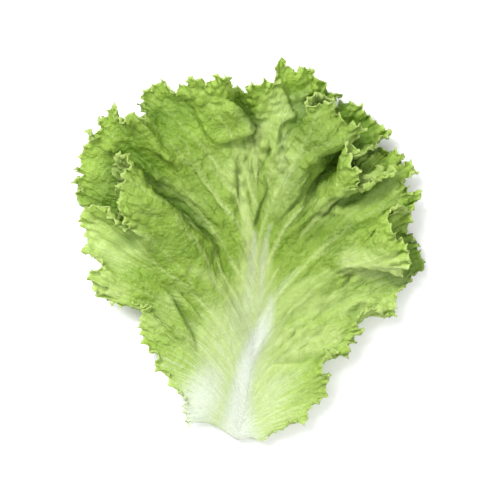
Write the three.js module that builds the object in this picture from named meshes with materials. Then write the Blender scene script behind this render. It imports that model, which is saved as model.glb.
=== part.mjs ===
// One loose leaf of green leaf lettuce, lying face up on its back.
// The blade, its ribs and the torn base grew as one piece, so they are one closed solid.
//
// Millimetres. +X is the leaf's right side, +Y runs from the torn base to the tip, +Z points up.
// The origin is the middle of the small flat spot under the midrib on which the leaf rests.
//
// The blade is a family of rings. The outermost ring is the frilled margin, the innermost is the
// midrib, and each ring between them is a smoother copy of the margin, so that small teeth die out
// close to the edge while the large folds run deep into the blade.

import * as THREE from 'three';

// Driving dimensions, in millimetres
const LEAF_LENGTH = 221;
const BLADE_THICKNESS = 0.7;
const RIB_DEPTH_AT_BASE = 4.6;
const RIB_DEPTH_AT_TIP = 0.5;
const RIB_HALF_WIDTH_AT_BASE = 15;
const RIB_HALF_WIDTH_AT_TIP = 3;
const RIB_NARROWING = 1.3;
const REST_HALF_WIDTH = 8;
const REST_HALF_LENGTH = 16;
const TEAR_DEPTH = 6;
const TEAR_REACH = 12;
const TEAR_SKEW = 0.8;
const LOBE_DROP = 4;
const LOBE_HALF_WIDTH = 4.5;
const LOBE_REACH = 7;

// Places on the leaf are given as it is seen from above: x to the right and y down in steps of
// PLACE_STEP, with a third number, where there is one, for the height in millimetres
const TIP_PLACE = 59;
const BASE_PLACE = 440;
const PLACE_STEP = LEAF_LENGTH / (BASE_PLACE - TIP_PLACE);
const REST_PLACE = [257, 258];
const TEAR_CORNER_PLACE = [187, 427];
const TEAR_END_PLACE = [237, 441];
const LOBE_PLACE = [262, 436];

// The midrib's upper surface, from the torn base to where it fades out
const MIDRIB = [[237, 440, 5.5], [245, 402, 5], [252, 360, 4.4], [257, 320, 3.2], [259, 280, 2.2],
  [258, 240, 2], [257, 205, 3.6], [256, 170, 9]];

// The frilled margin, clockwise from the left corner of the torn base. Where a stretch folds back
// over the blade it is high, and the stretch that it covers is low.
const LEFT_MARGIN = {
  foot: [[187, 427, 7], [183, 412, 9], [182, 404, 12], [186, 398, 14], [181, 392, 15], [171, 385, 12],
    [168, 378, 12], [168, 371, 13], [162, 368, 13], [156, 373, 12], [156, 362, 15], [154, 352, 17],
    [142, 346, 13], [143, 335, 12], [137, 326, 9]],
  tuck: [[139, 317, 14], [143, 312, 18], [148, 307, 20], [151, 303, 19], [144, 303, 18], [136, 306, 16],
    [127, 303, 14]],
  ear: [[116, 302, 12], [100, 297, 13], [93, 288, 15], [89, 277, 18], [88, 269, 19],
    [92, 267, 19], [99, 268, 17], [103, 264, 16], [99, 259, 16], [90, 259, 17],
    [84, 257, 17], [82, 250, 15], [86, 245, 15], [84, 237, 12], [86, 230, 13], [83, 225, 12],
    [78, 220, 11], [80, 213, 13]],
  lower_curl: [[83, 208, 17], [90, 206, 21], [97, 206, 25], [104, 205, 28], [109, 211, 29],
    [114, 219, 27], [119, 227, 27], [126, 234, 25]],
  petal: [[129, 227, 27], [124, 219, 29], [121, 211, 30], [118, 203, 32], [120, 195, 33], [118, 187, 33],
    [123, 180, 34], [122, 174, 34], [129, 171, 35], [127, 163, 35], [129, 157, 33], [122, 152, 31],
    [116, 156, 21]],
  hanging: [[113, 165, 18], [111, 180, 14], [112, 201, 12], [104, 219, 9], [88, 212, 6], [76, 198, 6],
    [77, 190, 8], [83, 188, 11], [77, 187, 8], [73, 181, 6], [77, 175, 7], [83, 173, 11],
    [74, 167, 8], [83, 163, 13], [78, 155, 11], [84, 150, 13], [87, 143, 16], [90, 138, 18],
    [87, 133, 20], [90, 129, 21], [93, 136, 19], [98, 137, 19], [98, 129, 18], [99, 123, 18]],
  shoulder: [[98, 117, 18], [104, 119, 22], [107, 118, 22], [105, 109, 19], [110, 110, 22],
    [114, 105, 21], [117, 109, 24], [114, 119, 28], [120, 124, 32], [126, 123, 33], [129, 118, 30],
    [135, 114, 30], [140, 117, 32], [145, 123, 28], [147, 117, 20], [143, 110, 13], [138, 105, 10]],
  crown_left: [[144, 106, 12], [145, 102, 14], [139, 98, 12], [143, 95, 14], [147, 88, 15],
    [150, 91, 18], [154, 92, 20], [152, 84, 17], [157, 81, 17], [168, 81, 18], [163, 86, 21],
    [168, 86, 22], [171, 92, 22], [176, 94, 21], [179, 90, 22]],
  crown_flap: [[180, 86, 24], [186, 84, 27], [190, 78, 30], [195, 75, 31], [201, 77, 32], [202, 83, 30],
    [206, 87, 29], [211, 86, 31], [214, 80, 33], [214, 73, 35], [221, 73, 36], [227, 76, 35],
    [228, 84, 29]],
  pocket: [[231, 87, 20], [235, 91, 14], [238, 86, 12], [242, 92, 12], [247, 94, 17]],
};
const RIGHT_MARGIN = {
  crown_frill: [[251, 91, 21], [247, 88, 25], [249, 83, 26], [256, 84, 25],
    [264, 81, 26], [270, 80, 24], [272, 85, 22], [277, 86, 20]],
  horn: [[281, 80, 22], [278, 74, 24], [273, 69, 26], [277, 63, 28], [283, 59, 28], [287, 62, 26],
    [285, 67, 24], [291, 70, 22], [297, 71, 22], [301, 65, 21], [304, 71, 22], [310, 71, 22],
    [315, 68, 20], [314, 76, 20], [319, 82, 17], [327, 84, 14], [327, 91, 13], [333, 93, 12],
    [339, 91, 11], [342, 97, 10]],
  flap: [[335, 99, 14], [328, 96, 19], [321, 94, 24], [313, 99, 29], [305, 102, 33], [309, 108, 34],
    [314, 111, 34], [319, 109, 34], [325, 106, 33], [334, 106, 32], [336, 111, 31], [340, 119, 31],
    [347, 121, 32], [354, 126, 33], [361, 126, 33], [367, 129, 33], [364, 134, 31], [357, 137, 27],
    [348, 140, 22], [338, 141, 18]],
  back: [[335, 132, 15], [336, 120, 13], [340, 109, 11], [344, 101, 9], [349, 99, 9],
    [355, 102, 12], [358, 107, 13], [361, 103, 12], [361, 110, 13], [367, 112, 12], [373, 116, 10],
    [378, 123, 9], [384, 129, 10], [390, 130, 12], [395, 134, 12], [391, 137, 13], [385, 138, 15],
    [380, 142, 17], [378, 147, 19]],
  curl: [[371, 152, 22], [364, 150, 27], [357, 149, 29], [350, 144, 31], [344, 144, 32], [347, 151, 34],
    [351, 158, 34], [354, 166, 33], [361, 167, 33], [359, 176, 31], [361, 187, 29], [366, 189, 30],
    [366, 181, 30], [372, 178, 28], [383, 177, 27], [388, 174, 27], [397, 172, 26], [396, 165, 24],
    [389, 169, 19], [377, 172, 13], [364, 172, 10], [355, 164, 8], [356, 154, 7], [368, 150, 7]],
  ear: [[378, 152, 7], [383, 148, 8], [389, 149, 9], [389, 158, 7], [396, 157, 9], [394, 150, 10],
    [400, 149, 12], [405, 156, 12], [399, 162, 11], [402, 166, 12], [407, 162, 13], [412, 161, 13],
    [418, 174, 12], [409, 174, 14], [403, 182, 15], [405, 191, 16], [412, 193, 16], [418, 188, 14],
    [421, 194, 12], [415, 202, 14], [414, 210, 17]],
  fan: [[407, 211, 21], [400, 205, 25], [391, 205, 29], [387, 213, 32], [389, 221, 33], [392, 229, 33],
    [396, 237, 32], [404, 239, 31], [405, 248, 31], [411, 256, 30], [409, 263, 28], [403, 268, 25],
    [400, 276, 17]],
  under: [[405, 267, 14], [404, 248, 11], [402, 235, 10], [409, 231, 9], [417, 238, 8], [410, 242, 9],
    [420, 244, 7], [419, 249, 8], [424, 251, 6], [420, 256, 7], [424, 260, 5], [423, 268, 5],
    [420, 274, 5], [412, 274, 7], [410, 282, 7], [404, 287, 10], [397, 293, 16]],
  heel: [[398, 300, 14], [398, 306, 12], [393, 308, 14], [398, 310, 11], [396, 315, 10], [389, 318, 10],
    [384, 315, 13], [381, 310, 17], [374, 308, 19], [366, 310, 19], [360, 314, 19], [358, 321, 18],
    [359, 328, 15], [364, 332, 12], [358, 334, 14], [353, 336, 15], [358, 341, 12],
    [354, 344, 14], [349, 343, 16], [350, 350, 13], [350, 358, 10], [344, 357, 12], [339, 350, 16],
    [333, 349, 19]],
  foot: [[330, 356, 18], [324, 362, 21], [322, 368, 22], [327, 372, 18], [331, 376, 14], [328, 380, 14],
    [326, 387, 13], [327, 395, 11], [320, 402, 11], [313, 402, 14], [308, 408, 14], [308, 418, 11],
    [305, 424, 10], [297, 421, 13], [289, 417, 16], [288, 425, 12], [282, 428, 11], [270, 432, 9]],
};
// Folds that run on into the blade. Along its course each stands up on one side, its left as one
// follows it, and drops to a valley on the other, both by its height and within its reach.
const FOLDS = [
  { course: [[216, 262], [207, 236], [190, 218], [170, 203], [150, 192], [128, 178]], height: 7,
    reach: 13 },
  { course: [[236, 272], [225, 244], [223, 222], [226, 208], [213, 194], [198, 168]], height: 3.5,
    reach: 8 },
  { course: [[170, 148], [156, 136], [142, 122]], height: 4, reach: 8 },
  { course: [[150, 294], [165, 290], [174, 309], [188, 330], [200, 352]], height: -4, reach: 9 },
  { course: [[170, 286], [184, 298], [204, 322]], height: -2, reach: 6 },
  { course: [[222, 148], [240, 138], [256, 132], [250, 119], [238, 110], [228, 100]], height: 6, reach: 8 },
  { course: [[306, 236], [309, 205], [314, 182], [328, 163], [346, 144], [360, 130]], height: 7, reach: 13 },
  { course: [[318, 214], [334, 196], [356, 187], [380, 176]], height: 4, reach: 10 },
  { course: [[300, 270], [330, 256], [362, 250], [398, 266]], height: 3, reach: 12 },
];

// How the ribs run: how close together they leave the midrib towards the base, how far they lean
// towards the tip, and how steeply the blade rises from the midrib
const RIB_CROWDING = 1.8;
const RIB_LEAN = 0.5;
const BOWL = 1.5;

// How the blade is divided: its rings, the step from the margin to the next ring, the steps along
// the midrib, and the length of a triangle's side at the margin and at the midrib
const RING_COUNT = 13;
const EDGE_STEP = 3.4;
const MIDRIB_STEPS = 40;
const ACROSS_AT_MARGIN = 4;
const ACROSS_AT_MIDRIB = 7;

// How far along a rib its bend stands, and over which share of a rib the folds and the frill fade in
const RIB_BEND = 0.45;
const FOLD_FADE = 0.15;
const FRILL_FADE = 0.25;

// The lengths over which the margin is smoothed, from the frilled edge itself to its plain outline,
// and how fast they grow with the distance from the edge
const SMOOTHING_LENGTHS = [0, 1.5, 3, 5, 8, 12, 18, 26, 38, 55];
const SMOOTHEST = SMOOTHING_LENGTHS.at(-1);
const SMOOTHING_RATE = 1.1;
const SAMPLE_STEP = 1.5;

// How many times the heights along the edge, the blade, its sharp creases and its normals are eased
const HEIGHT_EASING = 1;
const BLADE_EASING = 8;
const CREASE_EASING = 40;
const NORMAL_EASING = 3;
const SHARPEST_TURN = 0.4;

// How far a point moves to the mean of its neighbours each time it is eased
const EASING_SHARE = 0.6;
const CREASE_EASING_SHARE = 0.3;

// Into how many pieces the course of a fold and the midrib are cut where distances to them are
// measured, and how often a share of the margin is halved to find where a rib starts
const FOLD_PIECES = 24;
const MIDRIB_PIECES = 80;
const HALVINGS = 40;

function atPlace([x, y, height = 0]) {
  return new THREE.Vector3((x - REST_PLACE[0]) * PLACE_STEP, (REST_PLACE[1] - y) * PLACE_STEP, height);
}

function smoothstep(low, high, value) {
  return THREE.MathUtils.smoothstep(value, low, high);
}

// A polyline that is read by its length, from 0 at its start to 1 at its end
class Line {
  constructor(points) {
    this.points = points;
    this.marks = [0];
    for (let i = 1; i < points.length; i += 1) {
      this.marks.push(this.marks[i - 1] + points[i].distanceTo(points[i - 1]));
    }
    this.length = this.marks.at(-1);
    this.marks = this.marks.map((mark) => mark / this.length);
  }

  at(share) {
    let low = 0;
    let high = this.marks.length - 1;
    while (high - low > 1) {
      const middle = (low + high) >> 1;
      if (this.marks[middle] <= share) low = middle;
      else high = middle;
    }
    const part = (share - this.marks[low]) / (this.marks[high] - this.marks[low]);
    return this.points[low].clone().lerp(this.points[high], part);
  }
}

const leftPlaces = Object.values(LEFT_MARGIN).flat();
const rightPlaces = Object.values(RIGHT_MARGIN).flat();
const marginPoints = [...leftPlaces, ...rightPlaces].map(atPlace);

// The edge climbs and drops gently from tooth to tooth
for (let pass = 0; pass < HEIGHT_EASING; pass += 1) {
  const heights = marginPoints.map((point) => point.z);
  for (let i = 1; i < heights.length - 1; i += 1) {
    marginPoints[i].z = (heights[i - 1] + 2 * heights[i] + heights[i + 1]) / 4;
  }
}
const margin = new Line(marginPoints);
const tipShare = margin.marks[leftPlaces.length];
const midrib = new THREE.CatmullRomCurve3(MIDRIB.map(atPlace));

const sampleCount = Math.round(margin.length / SAMPLE_STEP) + 1;
const samples = [];
for (let i = 0; i < sampleCount; i += 1) {
  samples.push(margin.at(i / (sampleCount - 1)));
}

// Past its ends the margin goes on as its own mirror image, so that smoothing keeps its corners
function sampleBeyond(i) {
  const last = sampleCount - 1;
  if (i < 0) return samples[0].clone().multiplyScalar(2).sub(samples[Math.min(-i, last)]);
  if (i > last) return samples[last].clone().multiplyScalar(2).sub(samples[Math.max(2 * last - i, 0)]);
  return samples[i];
}

function smoothed(length) {
  if (length === 0) return samples;
  const spread = length / SAMPLE_STEP;
  const reach = Math.ceil(3 * spread);
  const weights = [];
  for (let k = -reach; k <= reach; k += 1) weights.push(Math.exp(-0.5 * (k / spread) ** 2));
  const total = weights.reduce((sum, weight) => sum + weight, 0);
  return samples.map((_, i) => {
    const sum = new THREE.Vector3();
    weights.forEach((weight, k) => sum.addScaledVector(sampleBeyond(i + k - reach), weight / total));
    return sum;
  });
}
const smoothedMargins = SMOOTHING_LENGTHS.map(smoothed);

function sampleAt(points, share) {
  const place = share * (sampleCount - 1);
  const low = Math.min(Math.floor(place), sampleCount - 2);
  return points[low].clone().lerp(points[low + 1], place - low);
}

function marginAt(share, length) {
  if (length <= 0) return margin.at(share);
  let level = 1;
  while (level < SMOOTHING_LENGTHS.length - 1 && SMOOTHING_LENGTHS[level] < length) level += 1;
  const below = SMOOTHING_LENGTHS[level - 1];
  const part = Math.min((length - below) / (SMOOTHING_LENGTHS[level] - below), 1);
  const lower = level === 1 ? margin.at(share) : sampleAt(smoothedMargins[level - 1], share);
  return lower.lerp(sampleAt(smoothedMargins[level], share), part);
}

// Each side's share of the plain outline from the base corner to the tip, at every sample
const outline = smoothedMargins.at(-1);
const tipSample = Math.round(tipShare * (sampleCount - 1));
const climbed = outline.map(() => 0);
for (let i = 1; i <= tipSample; i += 1) {
  climbed[i] = climbed[i - 1] + outline[i].distanceTo(outline[i - 1]);
}
for (let i = sampleCount - 2; i > tipSample; i -= 1) {
  climbed[i] = climbed[i + 1] + outline[i].distanceTo(outline[i + 1]);
}
const leftClimb = climbed[tipSample];
const rightClimb = climbed[tipSample + 1];

// Where along the midrib the rib that ends at this share of the margin starts
function ribStart(share) {
  const place = share * (sampleCount - 1);
  const low = Math.min(Math.floor(place), sampleCount - 2);
  const onLeft = low < tipSample;
  const from = climbed[low] / (low <= tipSample ? leftClimb : rightClimb);
  const to = climbed[low + 1] / (low + 1 <= tipSample ? leftClimb : rightClimb);
  const climb = onLeft || low > tipSample ? from + (to - from) * (place - low) : from;
  return Math.min(climb, 1) ** RIB_CROWDING;
}

// A rib's course from the midrib out to the plain outline
function rib(share) {
  const start = ribStart(share);
  const foot = midrib.getPoint(start);
  const end = sampleAt(outline, share);
  const straight = end.clone().sub(foot).setZ(0);
  const length = straight.length();
  const lean = RIB_LEAN * smoothstep(0, 0.04, start);
  const upward = midrib.getTangent(start).setZ(0).normalize();
  const aim = straight.clone().normalize().lerp(upward, lean).normalize();
  return { start, foot, end, aim, length };
}

// The rise or drop of the blade at a place, from all its folds
const folds = FOLDS.map(({ course, height, reach }) => {
  const line = new Line(new THREE.CatmullRomCurve3(course.map(atPlace)).getPoints(FOLD_PIECES));
  return { line, height, reach };
});

function foldedHeight(place) {
  let rise = 0;
  for (const { line, height, reach } of folds) {
    let nearest = Infinity;
    let side = 0;
    let along = 0;
    for (let i = 1; i < line.points.length; i += 1) {
      const from = line.points[i - 1];
      const way = line.points[i].clone().sub(from);
      const gap = place.clone().sub(from).setZ(0);
      const part = THREE.MathUtils.clamp(gap.dot(way) / way.lengthSq(), 0, 1);
      const apart = gap.clone().addScaledVector(way, -part).length();
      if (apart < nearest) {
        nearest = apart;
        side = Math.sign(way.x * gap.y - way.y * gap.x);
        along = THREE.MathUtils.lerp(line.marks[i - 1], line.marks[i], part);
      }
    }
    const across = nearest / reach;
    const fading = Math.sqrt(Math.sin(Math.PI * along));
    rise += side * height * fading * Math.tanh(2 * across) * Math.exp(-across * across / 2);
  }
  return rise;
}

function bladePoint(share, depth) {
  const { foot, end, aim, length } = rib(share);
  const out = 1 - depth;
  const bend = foot.clone().addScaledVector(aim, length * RIB_BEND);
  const point = foot.clone().multiplyScalar(depth * depth);
  point.addScaledVector(bend, 2 * depth * out).addScaledVector(end, out * out);
  point.z = foot.z + (end.z - foot.z) * out ** BOWL;
  point.z += foldedHeight(point) * smoothstep(0, FOLD_FADE, depth) * smoothstep(0, FOLD_FADE, out);
  const frill = marginAt(share, Math.min(SMOOTHING_RATE * depth * length, SMOOTHEST)).sub(end);
  return point.addScaledVector(frill, smoothstep(0, FRILL_FADE, out));
}

// Rings of points, from the margin inwards
function ringDepth(share, ring) {
  const { length } = rib(share);
  const power = Math.log(EDGE_STEP / length) / Math.log(1 / RING_COUNT);
  return (ring / RING_COUNT) ** power;
}

function ringShares(ring) {
  if (ring === 0) return margin.marks;
  const course = [];
  for (let i = 0; i < sampleCount; i += 1) {
    const share = i / (sampleCount - 1);
    course.push(bladePoint(share, ringDepth(share, ring)));
  }
  const line = new Line(course);
  const across = THREE.MathUtils.lerp(ACROSS_AT_MARGIN, ACROSS_AT_MIDRIB, ring / RING_COUNT);
  const count = Math.round(line.length / across);
  const shares = [];
  let sample = 0;
  for (let i = 0; i <= count; i += 1) {
    while (sample < sampleCount - 2 && line.marks[sample + 1] < i / count) sample += 1;
    const step = line.marks[sample + 1] - line.marks[sample];
    shares.push(Math.min((sample + (i / count - line.marks[sample]) / step) / (sampleCount - 1), 1));
  }
  return shares;
}

const top = [];
const rings = [];
for (let ring = 0; ring < RING_COUNT; ring += 1) {
  const shares = ringShares(ring);
  const points = shares.map((share) => top.push(bladePoint(share, ringDepth(share, ring))) - 1);
  rings.push({ shares, points });
}

// The innermost ring runs up the midrib and down again through the same points
const midribPoints = [];
for (let i = 0; i <= MIDRIB_STEPS; i += 1) {
  midribPoints.push(top.push(midrib.getPoint(i / MIDRIB_STEPS)) - 1);
}
function shareForStart(start, onLeft) {
  let near = onLeft ? 0 : 1;
  let far = tipShare;
  for (let i = 0; i < HALVINGS; i += 1) {
    const middle = (near + far) / 2;
    if (ribStart(middle) < start) near = middle;
    else far = middle;
  }
  return near;
}
const upward = midribPoints.map((_, i) => shareForStart(i / MIDRIB_STEPS, true));
const downward = midribPoints.map((_, i) => shareForStart(i / MIDRIB_STEPS, false));
rings.push({
  shares: [...upward, ...downward.reverse().slice(1)],
  points: [...midribPoints, ...midribPoints.slice().reverse().slice(1)],
});

// Triangles of the upper face, ring by ring
const faces = [];
for (let ring = 0; ring < RING_COUNT; ring += 1) {
  const outer = rings[ring];
  const inner = rings[ring + 1];
  let i = 0;
  let j = 0;
  while (i < outer.points.length - 1 || j < inner.points.length - 1) {
    const outerNext = i < outer.points.length - 1 ? outer.shares[i] + outer.shares[i + 1] : Infinity;
    const innerNext = j < inner.points.length - 1 ? inner.shares[j] + inner.shares[j + 1] : Infinity;
    if (outerNext < innerNext) {
      faces.push([outer.points[i], inner.points[j], outer.points[i + 1]]);
      i += 1;
    } else {
      if (inner.points[j] !== inner.points[j + 1]) {
        faces.push([outer.points[i], inner.points[j], inner.points[j + 1]]);
      }
      j += 1;
    }
  }
}

// Each vertex's neighbours on the upper face
const neighbours = top.map(() => new Set());
for (const [a, b, c] of faces) {
  for (const [from, to] of [[a, b], [b, c], [c, a]]) {
    neighbours[from].add(to);
    neighbours[to].add(from);
  }
}
function evened(vectors, weight) {
  return vectors.map((vector, i) => {
    const sum = new THREE.Vector3();
    neighbours[i].forEach((other) => sum.add(vectors[other]));
    return vector.clone().lerp(sum.divideScalar(neighbours[i].size), weight);
  });
}

// The blade draws itself smooth behind every notch, while its edge and its midrib stay
const edge = new Set([
  ...rings[0].points,
  ...rings.slice(1).flatMap((ring) => [ring.points[0], ring.points.at(-1)]),
  ...midribPoints.slice(0, -1),
]);
for (let pass = 0; pass < BLADE_EASING; pass += 1) {
  evened(top, EASING_SHARE).forEach((point, i) => {
    if (!edge.has(i)) top[i].copy(point);
  });
}

// The torn base curves in between its left corner and the end of the midrib, and a small lobe hangs
// down beside it
const tearCorner = atPlace(TEAR_CORNER_PLACE);
const tearEnd = atPlace(TEAR_END_PLACE);
const lobe = atPlace(LOBE_PLACE);
for (const point of top) {
  const along = THREE.MathUtils.clamp((point.x - tearCorner.x) / (tearEnd.x - tearCorner.x), 0, 1);
  const above = Math.max(point.y - THREE.MathUtils.lerp(tearCorner.y, tearEnd.y, along), 0);
  point.y += TEAR_DEPTH * Math.sin(Math.PI * along ** TEAR_SKEW) * Math.exp(-above / TEAR_REACH);
  const aside = ((point.x - lobe.x) / LOBE_HALF_WIDTH) ** 2;
  point.y -= LOBE_DROP * Math.exp(-aside - Math.abs(point.y - lobe.y) / LOBE_REACH);
}

function faceNormal([a, b, c]) {
  const across = new THREE.Vector3().subVectors(top[b], top[a]);
  return across.cross(new THREE.Vector3().subVectors(top[c], top[a]));
}

// The way in which the blade is thick at each vertex: the normal there, each triangle counting by
// its area, evened with its neighbours
function thicknessWays() {
  let ways = top.map(() => new THREE.Vector3());
  for (const face of faces) {
    const normal = faceNormal(face);
    face.forEach((corner) => ways[corner].add(normal));
  }
  ways.forEach((way) => way.normalize());
  for (let pass = 0; pass < NORMAL_EASING; pass += 1) {
    ways = evened(ways, EASING_SHARE).map((way) => way.normalize());
  }
  return ways;
}

// Where a triangle turns too far from the blade round it for the thickness to follow, it is eased
for (let pass = 0; pass < CREASE_EASING; pass += 1) {
  const ways = thicknessWays();
  const creased = new Set();
  for (const face of faces) {
    const normal = faceNormal(face).normalize();
    if (face.some((corner) => normal.dot(ways[corner]) < SHARPEST_TURN)) {
      face.forEach((corner) => creased.add(corner));
    }
  }
  evened(top, CREASE_EASING_SHARE).forEach((point, i) => {
    if (creased.has(i) && (!edge.has(i) || rings[0].points.includes(i))) top[i].copy(point);
  });
}
const ways = thicknessWays();

// The lower face lies under the upper one by the blade's thickness, and deeper along the midrib
const midribCourse = midrib.getPoints(MIDRIB_PIECES);
function ribThickness(point) {
  let nearest = 0;
  let distance = Infinity;
  midribCourse.forEach((other, i) => {
    const apart = Math.hypot(point.x - other.x, point.y - other.y);
    if (apart < distance) {
      distance = apart;
      nearest = i / MIDRIB_PIECES;
    }
  });
  const depth = THREE.MathUtils.lerp(RIB_DEPTH_AT_BASE, RIB_DEPTH_AT_TIP, nearest);
  const narrowing = Math.min(nearest * RIB_NARROWING, 1);
  const halfWidth = THREE.MathUtils.lerp(RIB_HALF_WIDTH_AT_BASE, RIB_HALF_WIDTH_AT_TIP, narrowing);
  return depth * Math.exp(-((distance / halfWidth) ** 2));
}
const bottom = top.map((point, i) => {
  const under = point.clone().addScaledVector(ways[i], -BLADE_THICKNESS / 2);
  const resting = Math.hypot(point.x / REST_HALF_WIDTH, point.y / REST_HALF_LENGTH) < 1;
  under.z = resting ? 0 : Math.max(under.z - ribThickness(point), 0);
  return under;
});
top.forEach((point, i) => point.addScaledVector(ways[i], BLADE_THICKNESS / 2));

const rim = [
  ...rings[0].points,
  ...rings.slice(1, -1).map((ring) => ring.points.at(-1)),
  midribPoints[0],
  ...rings.slice(1, -1).reverse().map((ring) => ring.points[0]),
];
const vertices = [...top, ...bottom];
const under = (corner) => corner + top.length;
const solidFaces = [];
for (const [a, b, c] of faces) {
  solidFaces.push([a, b, c], [under(a), under(c), under(b)]);
}
rim.forEach((corner, i) => {
  const next = rim[(i + 1) % rim.length];
  solidFaces.push([corner, next, under(corner)], [next, under(next), under(corner)]);
});

const geometry = new THREE.BufferGeometry();
geometry.setAttribute('position', new THREE.Float32BufferAttribute(vertices.flatMap((v) => v.toArray()), 3));
geometry.setIndex(solidFaces.flat());
geometry.computeVertexNormals();

const leafMaterial = new THREE.MeshStandardMaterial({ color: 0x97bd5c, roughness: 0.55, metalness: 0 });
const leaf = new THREE.Mesh(geometry, leafMaterial);
leaf.name = 'leaf';

const group = new THREE.Group();
group.add(leaf);

export default group;
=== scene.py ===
import math
import bpy
import numpy as np
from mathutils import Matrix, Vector, kdtree, noise


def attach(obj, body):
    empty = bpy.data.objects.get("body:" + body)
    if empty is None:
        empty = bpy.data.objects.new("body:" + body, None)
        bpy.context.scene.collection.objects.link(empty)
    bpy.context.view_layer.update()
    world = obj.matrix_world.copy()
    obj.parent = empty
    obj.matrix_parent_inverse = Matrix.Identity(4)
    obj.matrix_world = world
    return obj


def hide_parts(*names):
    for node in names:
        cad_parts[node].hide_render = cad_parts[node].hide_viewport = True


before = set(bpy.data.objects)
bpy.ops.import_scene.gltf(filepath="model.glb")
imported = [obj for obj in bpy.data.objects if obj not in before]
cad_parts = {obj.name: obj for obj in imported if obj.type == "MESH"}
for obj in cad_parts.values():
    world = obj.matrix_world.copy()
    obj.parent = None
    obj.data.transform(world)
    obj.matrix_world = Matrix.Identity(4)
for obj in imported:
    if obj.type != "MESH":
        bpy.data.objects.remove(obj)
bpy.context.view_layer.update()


# The frilled margin
# The thin edge of the blade, cut in teeth and drawn up in curls. Places on it are given as the
# leaf is seen from above: x to the right, y down, in steps of PLACE_STEP, and the height.
LEAF_LENGTH = 221
TIP_PLACE = 59
BASE_PLACE = 440
PLACE_STEP = LEAF_LENGTH / (BASE_PLACE - TIP_PLACE)
REST_PLACE = (257, 258)
LEFT_MARGIN = {
    "foot": [(187, 427, 7), (183, 412, 9), (182, 404, 12), (186, 398, 14), (181, 392, 15),
        (171, 385, 12), (168, 378, 12), (168, 371, 13), (162, 368, 13), (156, 373, 12), (156, 362, 15),
        (154, 352, 17), (142, 346, 13), (143, 335, 12), (137, 326, 9)],
    "tuck": [(139, 317, 14), (143, 312, 18), (148, 307, 20), (151, 303, 19), (144, 303, 18),
        (136, 306, 16), (127, 303, 14)],
    "ear": [(116, 302, 12), (100, 297, 13), (93, 288, 15), (89, 277, 18), (88, 269, 19), (92, 269, 19),
        (99, 270, 17), (104, 264, 16), (99, 257, 16), (91, 258, 17), (84, 257, 17), (82, 250, 15),
        (86, 245, 15), (84, 237, 12), (86, 230, 13), (83, 225, 12), (78, 220, 11), (80, 213, 13)],
    "lower_curl": [(83, 208, 17), (90, 206, 21), (97, 206, 25), (104, 205, 28), (109, 211, 29),
        (114, 219, 27), (119, 227, 27), (126, 234, 25)],
    "petal": [(129, 227, 27), (124, 219, 29), (121, 211, 30), (118, 203, 32), (120, 195, 33),
        (118, 187, 33), (123, 180, 34), (122, 174, 34), (129, 171, 35), (127, 163, 35), (129, 157, 33),
        (122, 152, 31), (116, 156, 21)],
    "hanging": [(113, 165, 18), (113, 180, 14), (117, 203, 12), (112, 225, 9), (88, 212, 6),
        (76, 198, 6), (77, 190, 8), (83, 188, 11), (77, 187, 8), (73, 181, 6), (77, 175, 7),
        (83, 173, 11), (74, 167, 8), (83, 163, 13), (78, 155, 11), (84, 150, 13), (87, 143, 16),
        (90, 138, 18), (87, 133, 20), (90, 129, 21), (93, 136, 19), (98, 137, 19), (98, 129, 18),
        (99, 123, 18)],
    "shoulder": [(98, 117, 18), (104, 119, 22), (107, 118, 22), (105, 109, 19), (110, 110, 22),
        (114, 105, 21), (117, 109, 24), (114, 119, 28), (120, 124, 32), (126, 123, 33), (129, 118, 30),
        (135, 114, 30), (140, 117, 32), (145, 123, 28), (147, 117, 20), (143, 110, 13), (138, 105, 10)],
    "crown_left": [(144, 106, 12), (145, 102, 14), (139, 98, 12), (143, 95, 14), (147, 88, 15),
        (150, 91, 18), (154, 92, 20), (152, 84, 17), (157, 81, 17), (168, 81, 18), (163, 86, 21),
        (168, 86, 22), (171, 92, 22), (176, 94, 21), (179, 90, 22)],
    "crown_flap": [(180, 86, 24), (186, 84, 27), (190, 78, 30), (195, 75, 31), (201, 77, 32),
        (202, 83, 30), (206, 87, 29), (211, 86, 31), (214, 80, 33), (214, 73, 35), (221, 73, 36),
        (227, 76, 35), (228, 84, 29)],
    "pocket": [(231, 87, 20), (235, 91, 14), (238, 86, 12), (242, 92, 12), (247, 94, 17)],
}
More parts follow.
